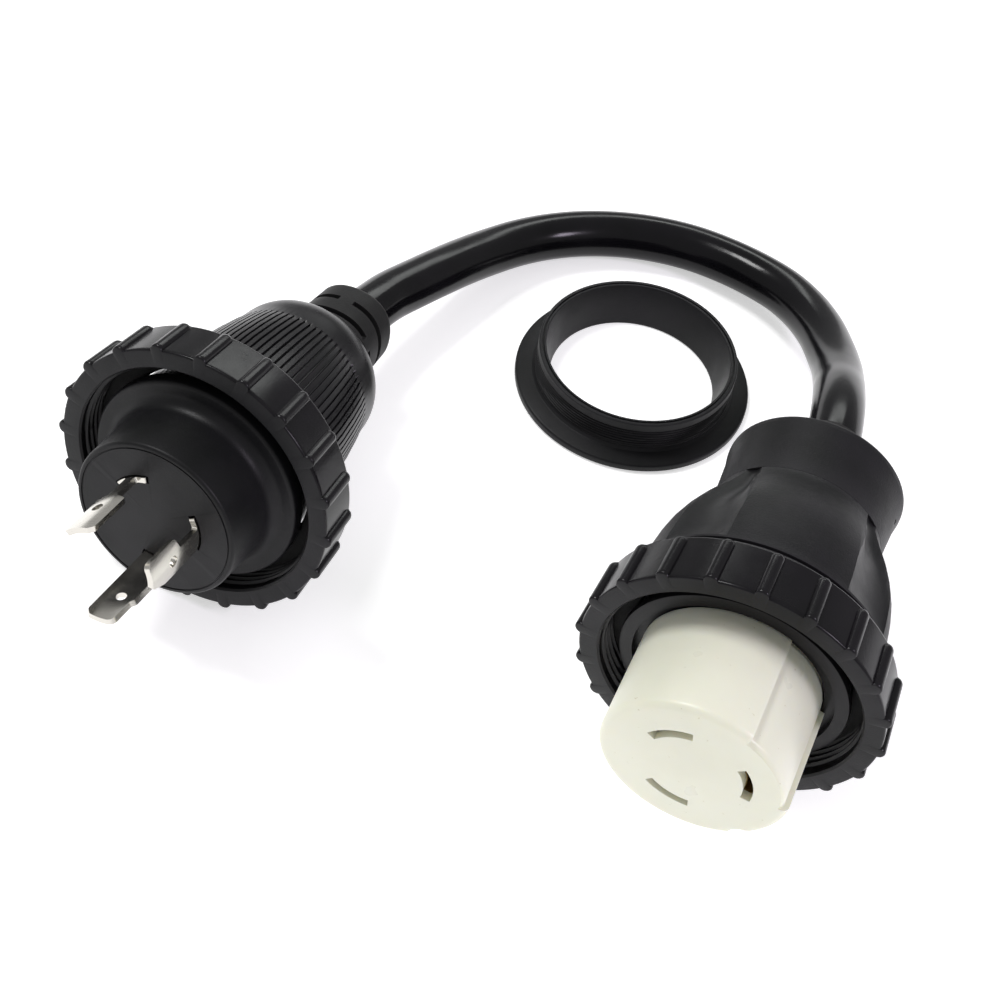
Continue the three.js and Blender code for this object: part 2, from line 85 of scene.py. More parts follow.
# ---- materials ----
class Look:
    """A procedural material under construction: a principled shader and short calls for its nodes."""

    def __init__(self, name, roughness, metallic=0.0, **fixed):
        self.material = bpy.data.materials.new(name)
        self.material.use_nodes = True
        self.tree = self.material.node_tree
        self.shader = self.tree.nodes["Principled BSDF"]
        self.shader.inputs["Metallic"].default_value = metallic
        self.shader.inputs["Roughness"].default_value = roughness
        for socket, value in fixed.items():
            self.shader.inputs[socket.replace("_", " ")].default_value = value
        self.bump_chain = None

    def node(self, kind, **values):
        made = self.tree.nodes.new(kind)
        for key, value in values.items():
            setattr(made, key, value)
        return made

    def link(self, out, into):
        self.tree.links.new(out, into)

    def position(self):
        return self.node("ShaderNodeTexCoord").outputs["Object"]

    def noise(self, scale, detail=3.0, roughness=0.5, stretch=None):
        made = self.node("ShaderNodeTexNoise")
        made.inputs["Scale"].default_value = scale
        made.inputs["Detail"].default_value = detail
        made.inputs["Roughness"].default_value = roughness
        at = self.position()
        if stretch:
            mapping = self.node("ShaderNodeMapping")
            mapping.inputs["Scale"].default_value = stretch
            self.link(at, mapping.inputs["Vector"])
            at = mapping.outputs["Vector"]
        self.link(at, made.inputs["Vector"])
        return made.outputs["Fac"]

    def ramp(self, fac, stops):
        made = self.node("ShaderNodeValToRGB")
        elements = made.color_ramp.elements
        while len(elements) < len(stops):
            elements.new(0.5)
        for element, (at, colour) in zip(elements, stops):
            element.position = at
            element.color = (*colour, 1) if len(colour) == 3 else colour
        self.link(fac, made.inputs["Fac"])
        return made.outputs["Color"]

    def span(self, fac, low, high, start=0.3, end=0.7):
        made = self.node("ShaderNodeMapRange")
        for socket, value in (("From Min", start), ("From Max", end), ("To Min", low), ("To Max", high)):
            made.inputs[socket].default_value = value
        self.link(fac, made.inputs["Value"])
        return made.outputs["Result"]

    def mix(self, fac, first, second, blend="MIX"):
        made = self.node("ShaderNodeMix", data_type="RGBA", blend_type=blend)
        for name, value in (("Factor", fac), ("A", first), ("B", second)):
            socket = made.inputs[name]
            if isinstance(value, bpy.types.NodeSocket):
                self.link(value, socket)
            else:
                socket.default_value = value
        return made.outputs["Result"]

    def colour(self, out):
        self.link(out, self.shader.inputs["Base Color"])
        return self

    def roughness(self, out):
        self.link(out, self.shader.inputs["Roughness"])
        return self

    def bump(self, height, strength, distance):
        made = self.node("ShaderNodeBump")
        made.inputs["Strength"].default_value = strength
        made.inputs["Distance"].default_value = distance
        self.link(height, made.inputs["Height"])
        if self.bump_chain:
            self.link(self.bump_chain, made.inputs["Normal"])
        self.bump_chain = made.outputs["Normal"]
        self.link(self.bump_chain, self.shader.inputs["Normal"])
        return self


EDGE_WEAR = 0.35  # how far a plastic's sharpest edges go to their rubbed colour


def plastic(name, dark, light, rough, grain, grain_depth):
    """A moulded plastic: mottled colour, tinted purple and green on the blacks as a painted reflection, worn
    edges, a moulded grain and roughness that varies.
    """
    look = Look(name, rough[0], Specular_IOR_Level=0.2)
    # The mottle mixes a plastic's dark and light tones at random; on the blacks these lean purple and green,
    # a painted reflection tint of the studio light.
    mottle_and_reflection_tint = look.ramp(look.noise(38, 5, 0.6), [(0.32, dark), (0.68, light)])
    edge = look.node("ShaderNodeNewGeometry").outputs["Pointiness"]
    worn = look.span(edge, 0.0, EDGE_WEAR, 0.515, 0.6)
    rubbed = tuple(min(1, 0.018 + channel * 1.6) for channel in light)
    look.colour(look.mix(worn, mottle_and_reflection_tint, (*rubbed, 1)))
    look.roughness(look.span(look.noise(90, 4, 0.6), *rough))
    look.bump(look.noise(grain, 2, 0.5), 0.5, grain_depth)
    look.bump(look.noise(55, 2, 0.5), 0.12, 0.0004)
    return look.material


def metal(name, dark, light, rough, brushed):
    look = Look(name, rough[0], 1.0)
    streaks = look.noise(160, 4, 0.6, brushed)
    look.colour(look.ramp(look.noise(45, 4, 0.6), [(0.3, dark), (0.7, light)]))
    look.roughness(look.span(streaks, *rough))
    look.bump(streaks, 0.12, 0.00006)
    return look.material


# The black plastics' tones lean purple and green: a painted reflection tint, mixed in by each mottle.
SATIN = plastic(
    "satin_black", (0.0045, 0.005, 0.005), (0.0095, 0.009, 0.011), (0.36, 0.5), 2600, 0.00008,
)
GLOSS = plastic(
    "gloss_black", (0.0035, 0.0035, 0.004), (0.007, 0.006, 0.008), (0.17, 0.28), 1500, 0.00003,
)
GRIP = plastic(
    "grip_black", (0.0035, 0.0035, 0.004), (0.0075, 0.0065, 0.0085), (0.24, 0.36), 2200, 0.00004,
)
TEXTURED = plastic(
    "textured_black", (0.005, 0.0055, 0.0055), (0.011, 0.01, 0.0125), (0.42, 0.56), 2300, 0.00016,
)
# A darker black, put only inside the collars' mouths and on the body's shoulder within them: painted shade
# in the recess.
PAINTED_SHADE_BLACK = plastic(
    "painted_shade_black", (0.0025, 0.0025, 0.003), (0.005, 0.0045, 0.0055), (0.3, 0.42), 2600, 0.00005,
)
RUBBER = plastic(
    "rubber_black", (0.006, 0.006, 0.006), (0.012, 0.0115, 0.012), (0.46, 0.6), 1900, 0.0001,
)
GASKET = plastic(
    "gasket_black", (0.005, 0.005, 0.005), (0.01, 0.01, 0.01), (0.6, 0.75), 1700, 0.0001,
)
JACKET = plastic(
    "jacket_black", (0.0025, 0.0025, 0.003), (0.0055, 0.005, 0.0065), (0.13, 0.22), 900, 0.00002,
)
WIRES = {
    "hot": plastic("wire_black", (0.012, 0.012, 0.012), (0.02, 0.02, 0.02), (0.4, 0.5), 1500, 0.00004),
    "neutral": plastic("wire_white", (0.72, 0.72, 0.7), (0.85, 0.85, 0.83), (0.4, 0.5), 1500, 0.00004),
    "ground": plastic("wire_green", (0.03, 0.22, 0.07), (0.05, 0.32, 0.1), (0.4, 0.5), 1500, 0.00004),
}
NICKEL = metal("nickel", (0.6, 0.58, 0.53), (0.67, 0.65, 0.6), (0.17, 0.25), (1, 1, 12))
BRASS = metal("brass", (0.55, 0.38, 0.14), (0.72, 0.53, 0.22), (0.28, 0.42), (1, 12, 1))
STEEL = metal("steel", (0.42, 0.42, 0.42), (0.58, 0.58, 0.57), (0.28, 0.42), (12, 1, 1))


def nylon():
    """The ivory insert: a pale nylon that lets a little light in."""
    look = Look(
        "ivory_nylon", 0.4,
        Subsurface_Weight=0.35, Subsurface_Radius=(1.0, 0.85, 0.55), Subsurface_Scale=0.003,
    )
    body = look.ramp(look.noise(22, 4, 0.6), [(0.3, (0.79, 0.79, 0.65)), (0.7, (0.86, 0.865, 0.735))])
    specks = look.ramp(look.noise(900, 2, 0.4), [(0.2, (0.8, 0.77, 0.68)), (0.26, (1, 1, 1))])
    look.colour(look.mix(1.0, body, specks, "MULTIPLY"))
    look.roughness(look.span(look.noise(70, 3, 0.5), 0.26, 0.4))
    look.bump(look.noise(900, 2, 0.5), 0.25, 0.00005)
    return look.material


IVORY = nylon()


# ---- meshes ----
def fillet(points, steps=4):
    """An outline with rounded corners: each point is (r, z) or (r, z, radius)."""
    out = []
    count = len(points)
    for i, point in enumerate(points):
        here = Vector(point[:2])
        radius = point[2] if len(point) > 2 else 0
        if not radius:
            out.append((here.x, here.y))
            continue
        before = (Vector(points[i - 1][:2]) - here).normalized()
        after = (Vector(points[(i + 1) % count][:2]) - here).normalized()
        half = before.angle(after) / 2
        reach = radius / math.tan(half)
        centre = here + (before + after).normalized() * (radius / math.sin(half))
        start = here + before * reach - centre
        end = here + after * reach - centre
        first = math.atan2(start.y, start.x)
        sweep = (math.atan2(end.y, end.x) - first + math.pi) % TAU - math.pi
        for k in range(steps + 1):
            turn = first + sweep * k / steps
            arc_r = start.length
            out.append((centre.x + arc_r * math.cos(turn), centre.y + arc_r * math.sin(turn)))
    return out


def between(start, end, stops):
    """Points on an outline's straight run from start to end, at each z in stops."""
    (r, z), (next_r, next_z) = start, end
    return [(r + (next_r - r) * (stop - z) / (next_z - z), stop) for stop in stops]


def turns(count):
    return [TAU * i / count for i in range(count)]


def lathe(outline, angles, shape=None):
    """A closed mesh about Z, in millimetres. Points with r = 0 at the outline's ends become poles."""
    made = bmesh.new()
    rows = []
    for r, z in outline:
        if r < 1e-6:
            rows.append([made.verts.new((0, 0, z))] * len(angles))
            continue
        row = []
        for angle in angles:
            r_here, z_here = shape(r, z, angle) if shape else (r, z)
            row.append(made.verts.new((r_here * math.cos(angle), r_here * math.sin(angle), z_here)))
        rows.append(row)
    poled = outline[0][0] < 1e-6
    for i in range(len(rows) - 1 if poled else len(rows)):
        low, high = rows[i], rows[(i + 1) % len(rows)]
        for k in range(len(angles)):
            n = (k + 1) % len(angles)
            corners = []
            for corner in (low[k], low[n], high[n], high[k]):
                if corner not in corners:
                    corners.append(corner)
            made.faces.new(corners)
    bmesh.ops.recalc_face_normals(made, faces=made.faces)
    return made


def cut(piece, cutter):
    """Takes one mesh out of another, and drops the cutter."""
    modifier = piece.modifiers.new("cut", "BOOLEAN")
    modifier.operation, modifier.solver, modifier.object = "DIFFERENCE", "EXACT", cutter
    applied(piece)
    bpy.data.objects.remove(cutter)


def applied(piece):
    bpy.context.view_layer.update()
    seen = piece.evaluated_get(bpy.context.evaluated_depsgraph_get())
    mesh = bpy.data.meshes.new_from_object(seen)
    piece.modifiers.clear()
    piece.data = mesh


def loose(name, made, place=Matrix.Identity(4)):
    """An object from a mesh in millimetres, put where its frame is."""
    made.transform(place @ Matrix.Scale(MM, 4))
    mesh = bpy.data.meshes.new(name)
    made.to_mesh(mesh)
    made.free()
    piece = bpy.data.objects.new(name, mesh)
    SCENE.collection.objects.link(piece)
    return piece


def finished(piece, body, materials, slot, *nodes, sharp=32):
    """Shades a piece smooth up to an angle, gives it its materials, and sets it on its body."""
    made = bmesh.new()
    made.from_mesh(piece.data)
    for face in made.faces:
        face.smooth = True
    for edge in made.edges:
        edge.smooth = not (len(edge.link_faces) == 2 and edge.calc_face_angle() > math.radians(sharp))
    made.to_mesh(piece.data)
    made.free()
    piece.data.materials.clear()
    for material in materials:
        piece.data.materials.append(material)
    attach(piece, body)
    if nodes:
        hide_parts(*nodes)
    return piece


def smoothstep(value, low, high):
    t = min(1, max(0, (value - low) / (high - low)))
    return t * t * (3 - 2 * t)


def plug_frame(plug):
    joint = JOINTS[plug + "_collar_spin"]
    facing = Vector(joint["axis"]).normalized()
    across = Vector((0, 0, 1)).cross(facing).normalized()
    top = facing.cross(across)
    turn = Matrix((across, top, facing)).transposed().to_4x4()
    return Matrix.Translation(joint["pos_m"]) @ turn


MALE = plug_frame("male")
FEMALE = plug_frame("female")


def ring_frame():
    low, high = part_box("thread_adapter_ring")
    return Matrix.Translation(((low.x + high.x) / 2, (low.y + high.y) / 2, low.z))


# ---- collars ----
LUGS = 20
LUG_PHASE = math.radians(1)
LUG_HALF = 1.7
LUG_HEIGHT = 1.4
LUG_REAR = -13.5
COLLAR_R = 38
THREAD = {"pitch": 1.9, "from": -1.6, "to": -10.6, "height": 0.75}
THREAD_ROWS = 46


def lug_angles():
    offsets = [-1, -0.97, -0.88, -0.72, -0.5, -0.25, 0, 0.25, 0.5, 0.72, 0.88, 0.97, 1]
    out = []
    for i in range(LUGS):
        middle = TAU * i / LUGS + LUG_PHASE
        out += [middle + offset * (LUG_HALF + 0.02) / COLLAR_R for offset in offsets]
        out += [middle + TAU / LUGS * share for share in (0.22, 0.36, 0.5, 0.64, 0.78)]
    return sorted(angle % TAU for angle in out)


def collar_shape(r, z, angle):
    """A helical thread inside the mouth, and rounded grip lugs round the rim."""
    if r < 34:
        mouth, last = THREAD["from"], THREAD["to"]
        turn = (z - mouth) / THREAD["pitch"] + angle / TAU
        ridge = max(0.0, math.cos(turn * TAU)) ** 0.7 if last < z < mouth else 0.0
        fade = smoothstep(z, last, last + 1) * (1 - smoothstep(z, mouth - 0.8, mouth))
        return r - (THREAD["height"] * ridge * fade if r > 32 else 0), z
    if r < 36.8:
        return r, z
    pitch = TAU / LUGS
    across = ((angle - LUG_PHASE + pitch / 2) % pitch - pitch / 2) * COLLAR_R
    behind = max(0.0, LUG_REAR + LUG_HALF - z)
    away = math.hypot(across, behind) / LUG_HALF
    rise = LUG_HEIGHT * math.sqrt(max(0.0, 1 - away * away))
    return r + rise * smoothstep(r, 36.8, 37.3), z


def collar(plug, place):
    outline = fillet([
        (27, -14, 0.5), (37.3, -14, 0.7), (38, 0, 0.6), (33.2, 0), (32.7, -0.5), (32.7, -11.2),
        (27, -11.2, 0.4),
    ], 3)
    rows = []
    for i, (r, z) in enumerate(outline):
        rows.append((r, z))
        next_r, next_z = outline[(i + 1) % len(outline)]
        if r > 36.8 and next_r > 36.8 and next_z - z > 5:
            stops = (-13.2, -13, -12.7, -12.4, -12.1, -11.8, -9, -6, -3, -1.2)
            rows += between((r, z), (next_r, next_z), [stop for stop in stops if z < stop < next_z])
        if r < 34 and next_r < 34 and z - next_z > 5:
            rows += [(r, z + (next_z - z) * k / THREAD_ROWS) for k in range(1, THREAD_ROWS)]
    piece = loose(plug + "_collar_detail", lathe(rows, lug_angles(), collar_shape), place)
    finished(piece, plug + "_ring", [GLOSS, SATIN, PAINTED_SHADE_BLACK], "collar", plug + "_collar")
    facing = place.to_3x3() @ Vector((0, 0, 1))
    for face in piece.data.polygons:
        local = place.inverted() @ face.center / MM
        if face.normal.dot(facing) > 0.9 and math.hypot(local.x, local.y) > 33:
            face.material_index = 1
        # Inside its mouth the collar gets the darker black: painted shade.
        elif math.hypot(local.x, local.y) < 33.5:
            face.material_index = 2
    return piece


collar("male", MALE)
collar("female", FEMALE)


# ---- male plug ----
BLADE_R = 12.05
BLADE_THICK = 1.5
BLADE_HALF = 4.5
# Across each blade: the edges of its neck, its far tip corner cut back, and its near edge's last step.
BLADES = {
    "hot": {"angle": 125, "tip": 38.5, "neck": (-1.7, 0.9), "corner": (1.2, 1.2), "edge": 4.5},
    "neutral": {"angle": 11, "tip": 36.5, "neck": (-4.5, 1.6), "corner": (2.4, 5.5), "edge": 4.5},
    "ground": {"angle": -79, "tip": 41.5, "neck": (-4.5, 1), "corner": (1.2, 1.2), "edge": 3.4},
}
BLADE_TAIL = -13
NECK_FROM, NECK_TO = 17, 24.5  # along each blade
HOLE_R, HOLE_BACK = 1.4, 8.6  # the hole in each blade, and how far it is behind the tip
NOSE_FACE = 16.5


def sector(inner, outer, middle, half, low, high, steps=10):
    """A closed curved bar about Z, half degrees each side of an angle in degrees."""
    made = bmesh.new()
    rows = []
    for i in range(steps + 1):
        angle = math.radians(middle - half + 2 * half * i / steps)
        corners = ((inner, low), (outer, low), (outer, high), (inner, high))
        rows.append([made.verts.new((r * math.cos(angle), r * math.sin(angle), z)) for r, z in corners])
    for before, after in zip(rows, rows[1:]):
        for k in range(4):
            made.faces.new((before[k], before[(k + 1) % 4], after[(k + 1) % 4], after[k]))
    made.faces.new(rows[0])
    made.faces.new(rows[-1])
    bmesh.ops.recalc_face_normals(made, faces=made.faces)
    return made


def nose():
    outline = fillet([
        (0, -2), (17.5, -2), (17.5, -20), (24.4, -20), (24.4, -5), (28.8, -5, 0.3), (28.8, -1, 1.1),
        (22.6, -1, 3.4), (22.1, NOSE_FACE, 0.9), (20.9, NOSE_FACE),
        (20.8, NOSE_FACE - 0.25), (20.5, NOSE_FACE - 0.25),
        (20.4, NOSE_FACE), (0, NOSE_FACE),
    ], 6)
    piece = loose("male_nose_detail", lathe(outline, turns(128)), MALE)
    for form in BLADES.values():
        low, high = BLADE_R - BLADE_THICK / 2 - 0.3, BLADE_R + BLADE_THICK / 2 + 0.3
        cut(piece, loose("slot_cutter", sector(low, high, form["angle"], 24, -3, NOSE_FACE + 1), MALE))
    finished(piece, "adapter", [SATIN], "moulding", "male_nose_carrier")


def blade_outline(form):
    """A blade's outline across its width and along the plug, with the locking notch beside its neck."""
    half, tip, neck, corner, edge = BLADE_HALF, form["tip"], form["neck"], form["corner"], form["edge"]
    shoulder = 25.3
    points = [(-half, BLADE_TAIL), (half, BLADE_TAIL), (half, NECK_FROM, 0.4)]
    points += [(neck[1], NECK_FROM, 0.6), (neck[1], NECK_TO, 0.5), (half, shoulder, 0.5)]
    if edge < half:
        points += [(half, tip - 8, 0.3), (edge, tip - 7.2, 0.3)]
    points += [(edge, tip, 1.5), (-half + corner[0], tip, 0.8), (-half, tip - corner[1], 0.8)]
    if neck[0] > -half:
        points += [(-half, shoulder, 0.5), (neck[0], NECK_TO, 0.5)]
        points += [(neck[0], NECK_FROM, 0.6), (-half, NECK_FROM, 0.4)]
    return fillet(points)


def blade(pole, form):
    made = bmesh.new()
    rim = [made.verts.new((s, 0, z)) for s, z in blade_outline(form)]
    hole_z = form["tip"] - HOLE_BACK
    hole = [made.verts.new((HOLE_R * math.cos(t), 0, hole_z + HOLE_R * math.sin(t))) for t in turns(20)]
    edges = []
    for loop in (rim, hole):
        edges += [made.edges.new((loop[i], loop[(i + 1) % len(loop)])) for i in range(len(loop))]
    bmesh.ops.triangle_fill(made, edges=edges, use_beauty=True)
    for stop in (-3.5, -2.5, -1.6, -0.8, 0, 0.8, 1.6, 2.5, 3.3):
        geometry = made.verts[:] + made.edges[:] + made.faces[:]
        bmesh.ops.bisect_plane(made, geom=geometry, plane_co=(stop, 0, 0), plane_no=(1, 0, 0))
    bmesh.ops.recalc_face_normals(made, faces=made.faces)
    grown = bmesh.ops.extrude_face_region(made, geom=made.faces[:])
    for vert in grown["geom"]:
        if isinstance(vert, bmesh.types.BMVert):
            vert.co.y += BLADE_THICK
    bmesh.ops.recalc_face_normals(made, faces=made.faces)
    rim_edges = [e for e in made.edges if len(e.link_faces) == 2 and e.calc_face_angle() > math.radians(60)]
    bmesh.ops.bevel(
        made, geom=rim_edges, offset=0.16, segments=2, affect="EDGES", profile=0.5, clamp_overlap=True,
    )
    inner = BLADE_R - BLADE_THICK / 2
    for vert in made.verts:
        turn = math.radians(form["angle"]) + vert.co.x / BLADE_R
        r = inner + vert.co.y
        vert.co = (r * math.cos(turn), r * math.sin(turn), vert.co.z)
    bmesh.ops.recalc_face_normals(made, faces=made.faces)
    piece = loose(f"male_{pole}_blade_detail", made, MALE)
    finished(piece, "adapter", [NICKEL], "blade", f"male_{pole}_blade", sharp=40)


RIBS = 84
RIB_DEPTH = 0.75
RIB_ENDS = (-15, -50)


def rib_angles():
    offsets = (0, 0.06, 0.2, 0.44, 0.58, 0.64, 0.9, 0.96)
    return [TAU * (i + offset) / RIBS for i in range(RIBS) for offset in offsets]


def grip_shape(r, z, angle):
    """A groove between each rib and the next, that runs out at both ends of the ribs."""
    share = (angle / TAU * RIBS) % 1
    in_groove = smoothstep(share, 0.62, 0.65) * (1 - smoothstep(share, 0.89, 0.95))
    front, rear = RIB_ENDS
    along = smoothstep(-z, -front, 1.2 - front) * (1 - smoothstep(-z, -rear - 0.8, -rear))
    return (r - RIB_DEPTH * in_groove * along, z) if r > 22 and z > -51 else (r, z)


def grip():
    shell = [(24.8, -5.3), (26.5, -5.3), (26.5, -15), (26.5, -15.4), (26.45, -15.8), (26.4, -16.2)]
    shell += [(26.35, -22), (25.7, -32), (24.7, -40), (23.5, -47), (23.05, -48.8), (22.95, -49.2)]
    shell += [(22.88, -49.6), (22.8, -50)]
    for k in range(13):
        turn = math.radians(88 * k / 12)
        shell.append((14.2 + 8.2 * math.cos(turn), -53.6 - 10.8 * math.sin(turn)))
    shell += [(13.4, -64.6), (8, -64.6), (8, -56), (16.4, -52), (20.2, -46), (21.6, -24), (24.8, -21)]
    piece = loose("male_grip_detail", lathe(shell, rib_angles(), grip_shape), MALE)
    finished(piece, "adapter", [GRIP], "grip", "male_grip_shell")


RELIEF_FRONT, RELIEF_END = -64.3, -87.1
SLOT_ROWS = ((-71.6, 28), (-79, 90))  # each row of slots: its z, and the middle of its web in degrees
SLOT_DEPTH = 2.9


def relief_shape(r, z, angle):
    """Flattened sides, and two staggered rows of slots with webs between them."""
    if r < 9:
        return r, z
    degrees = math.degrees(angle)
    flat = 1 - 0.045 * math.cos(2 * angle) ** 2 * smoothstep(r, 9, 11)
    depth = 0.0
    for z_row, phase in SLOT_ROWS:
        band = max(0.0, 1 - ((z - z_row) / 1.0) ** 6) if abs(z - z_row) < 1 else 0.0
        from_web = abs((degrees - phase + 90) % 180 - 90)
        depth = max(depth, band * smoothstep(from_web, 10, 12.5))
    return r * flat - SLOT_DEPTH * depth, z


def relief():
    rows = fillet([
        (8, RELIEF_END, 0.3), (12.5, RELIEF_END, 1.0), (13.5, RELIEF_FRONT, 0.2), (8, RELIEF_FRONT),
    ], 3)
    dense = []
    for i, (r, z) in enumerate(rows):
        dense.append((r, z))
        next_r, next_z = rows[(i + 1) % len(rows)]
        if r > 11 and next_z - z > 8:
            stops = [-85.6, -83.5, -81.5, -76.5, -74.5, -69, -66.5]
            for z_row, _ in SLOT_ROWS:
                steps = (-1.15, -1, -0.98, -0.9, -0.6, 0, 0.6, 0.9, 0.98, 1, 1.15)
                stops += [z_row + step for step in steps]
            dense += between((r, z), (next_r, next_z), sorted(stops))
    piece = loose("male_relief_detail", lathe(dense, turns(144), relief_shape), MALE)
    finished(piece, "adapter", [RUBBER], "soft_moulding", "male_strain_relief")


nose()
for pole, form in BLADES.items():
    blade(pole, form)
grip()
relief()


# ---- female connector ----
INSERT_FACE = 24.7
INSERT_SLOTS = {"hot": 17, "neutral": 125, "ground": -106}
KEY_FROM, KEY_TO = 0, 66
KEY_STEP = 0.6  # degrees that each side of the keyway takes up
KEY_DEPTH = 1.35
NOTCH = -48
NOTCH_DEPTH = 0.9
CROWN = {"r": 21.4, "height": 0.35}


def insert_shape(r, z, angle):
    """A slightly crowned face, the keyway down one side, and the small bite at the bottom edge."""
    degrees = (math.degrees(angle) + 180) % 360 - 180
    if z > -5.1 and r > 19:
        key = smoothstep(degrees, KEY_FROM, KEY_FROM + KEY_STEP)
        key *= 1 - smoothstep(degrees, KEY_TO - KEY_STEP, KEY_TO)
        outer = smoothstep(r, 20.8, 22.2)
        bite = max(0.0, 1 - ((degrees - NOTCH) / 6) ** 4)
        bite *= smoothstep(z, INSERT_FACE - 3.6, INSERT_FACE - 2.6)
        return r - (KEY_DEPTH * key + NOTCH_DEPTH * bite * (1 - key)) * outer, z
    if z > INSERT_FACE - 0.6 and r < CROWN["r"]:
        return r, z + CROWN["height"] * (1 - (r / CROWN["r"]) ** 2)
    return r, z


def insert_angles():
    dense = [math.radians(edge + step * 0.15) for edge in (KEY_FROM, KEY_TO - KEY_STEP) for step in range(5)]
    return sorted(set(turns(144) + dense))


def insert():
    outline = fillet([
        (0, -18), (21.8, -18), (21.8, -5), (23.2, -5, 0.3), (23.2, INSERT_FACE, 1.8), (20, INSERT_FACE),
        (16, INSERT_FACE), (10, INSERT_FACE), (5, INSERT_FACE), (0, INSERT_FACE + CROWN["height"]),
    ], 8)
    dense = []
    for i, (r, z) in enumerate(outline[:-1]):
        dense.append((r, z))
        next_r, next_z = outline[i + 1]
        if r > 23 and next_z - z > 8:
            dense += [(r, z + (next_z - z) * k / 16) for k in range(1, 16)]
    dense.append(outline[-1])
    piece = loose("female_insert_detail", lathe(dense, insert_angles(), insert_shape), FEMALE)
    for middle in INSERT_SLOTS.values():
        cut(piece, loose("slot_cutter", sector(12.2, 14.6, middle, 24, 20, INSERT_FACE + 2), FEMALE))
        cut(piece, loose("slot_cutter", sector(10.8, 16, middle, 28.6, -19, 22.5), FEMALE))
    finished(piece, "adapter", [IVORY], "insert", "female_insert", sharp=28)


FLUTES = 4
FLUTE_MIDDLE = math.radians(42)
FLUTE_HALF = math.radians(16.6)
FLUTE_DEPTH = 3.1


def flute_share(z, angle):
    """How far across a flute an angle is: 0 at its middle, 1 at its edge. A flute narrows to the tail."""
    period = TAU / FLUTES
    half = FLUTE_HALF * (1 - 0.68 * smoothstep(-z, 31, 57))
    return abs((angle - FLUTE_MIDDLE + period / 2) % period - period / 2) / half


def shell_shape(r, z, angle):
    """The grip scallops: four hollows along the body, with crisp edges, that run out at the flange."""
    if r < 22.3 or z > -19.4:
        return r, z
    across = flute_share(z, angle)
    hollow = (1 - across * across) ** 0.8 if across < 1 else 0.0
    along = smoothstep(-z, 19.6, 23) * (1 - 0.75 * smoothstep(-z, 44, 54))
    return r - FLUTE_DEPTH * hollow * along, z


def flute_angles():
    marks = (-1.02, -1, -0.98, -0.95, -0.9, -0.85, -0.8, -0.74, -0.68, -0.6, -0.52, -0.44, -0.36, -0.3)
    marks += (-0.2, -0.1, 0)
    panel = (0.26, 0.32, 0.38, 0.44, 0.5, 0.56, 0.62, 0.68, 0.74)
    out = set()
    for i in range(FLUTES):
        middle = FLUTE_MIDDLE + TAU * i / FLUTES
        for mark in marks:
            out |= {middle + mark * FLUTE_HALF, middle - mark * FLUTE_HALF}
        out |= {middle + TAU / FLUTES * share for share in panel}
    return sorted(angle % TAU for angle in out)


def shell():
    outline = [(22.1, -5.3), (25.3, -5.3), (25.3, -3.2), (28, -3.2), (28.6, -3.4), (28.8, -3.9), (28.8, -5)]
    outline += [(26.3, -5), (26.3, -16.2), (33.2, -16.2), (33.5, -16.4), (33.5, -17.1), (33.1, -17.3)]
    outline += [(32.5, -17.4), (32.5, -17.7), (33.1, -17.8), (33.5, -18), (33.5, -18.6), (33.2, -18.8)]
    outline += [(32.6, -19), (32.1, -19.5), (31.9, -20.2), (31.8, -22), (31.6, -25), (31.3, -28)]
    outline += [(30.8, -32), (30, -36), (28.7, -40), (27, -44), (25.2, -47.5), (23.7, -50.5)]
    outline += [(22.9, -52.4), (22.6, -54), (20, -54), (20.4, -50), (23.2, -42), (26, -34), (26.6, -24)]
    outline += [(22.1, -21)]
    piece = loose("female_shell_detail", lathe(outline, flute_angles(), shell_shape), FEMALE)
    finished(piece, "adapter", [TEXTURED, PAINTED_SHADE_BLACK, SATIN], "moulding", "female_body_shell", sharp=24)
    for face in piece.data.polygons:
        at = FEMALE.inverted() @ face.center / MM
        # The shoulder inside the collar's mouth gets the darker black: painted shade.
        if at.z > -5.5:
            face.material_index = 1
        elif at.z < -19.4 and flute_share(at.z, math.atan2(at.y, at.x)) < 1:
            face.material_index = 2


def tail():
    outline = fillet([
        (10.9, -71.3, 0.3), (18.4, -71.3, 0.5), (19.4, -72.3, 0.5), (24, -72.3, 0.9), (23.9, -70.4, 0.8),
        (23.3, -67), (22.9, -60), (22.62, -54.04), (20, -54.04), (20, -68.7), (10.9, -68.7),
    ], 4)
    piece = loose("female_tail_detail", lathe(outline, turns(128)), FEMALE)
    pinhole = bmesh.new()
    bmesh.ops.create_cone(pinhole, cap_ends=True, segments=20, radius1=0.75, radius2=0.75, depth=4)
    angle = math.radians(12)
    aim = Matrix.Translation((22.6 * math.cos(angle), 22.6 * math.sin(angle), -66))
    aim = aim @ Matrix.Rotation(angle, 4, "Z") @ Matrix.Rotation(math.pi / 2, 4, "Y")
    pinhole.transform(aim)
    cut(piece, loose("pinhole_cutter", pinhole, FEMALE))
    finished(piece, "adapter", [TEXTURED], "moulding", "female_tail_sleeve")


def grommet():
    outline = [(8, -88), (8.7, -88), (9, -87.7), (9.1, -87.2)]
    for k in range(4):
        top = -85.6 + 3 * k
        r = 9.2 + 0.36 * k
        outline += [(r, top - 0.7), (r - 0.7, top - 0.6), (r - 0.7, top + 0.6), (r + 0.1, top + 0.7)]
    outline += [(10.6, -73.5), (10.6, -68.4), (13, -68.4), (13, -66.5), (8, -66.5)]
    piece = loose("female_grommet_detail", lathe(outline, turns(64)), FEMALE)
    finished(piece, "adapter", [RUBBER], "soft_moulding", "female_cable_grommet")


insert()
shell()
tail()
grommet()


# ---- the loose ring ----
RING_THREAD = {"from": 4.6, "pitch": 1.02, "height": 0.75}
RING_WALL_ROWS = 64


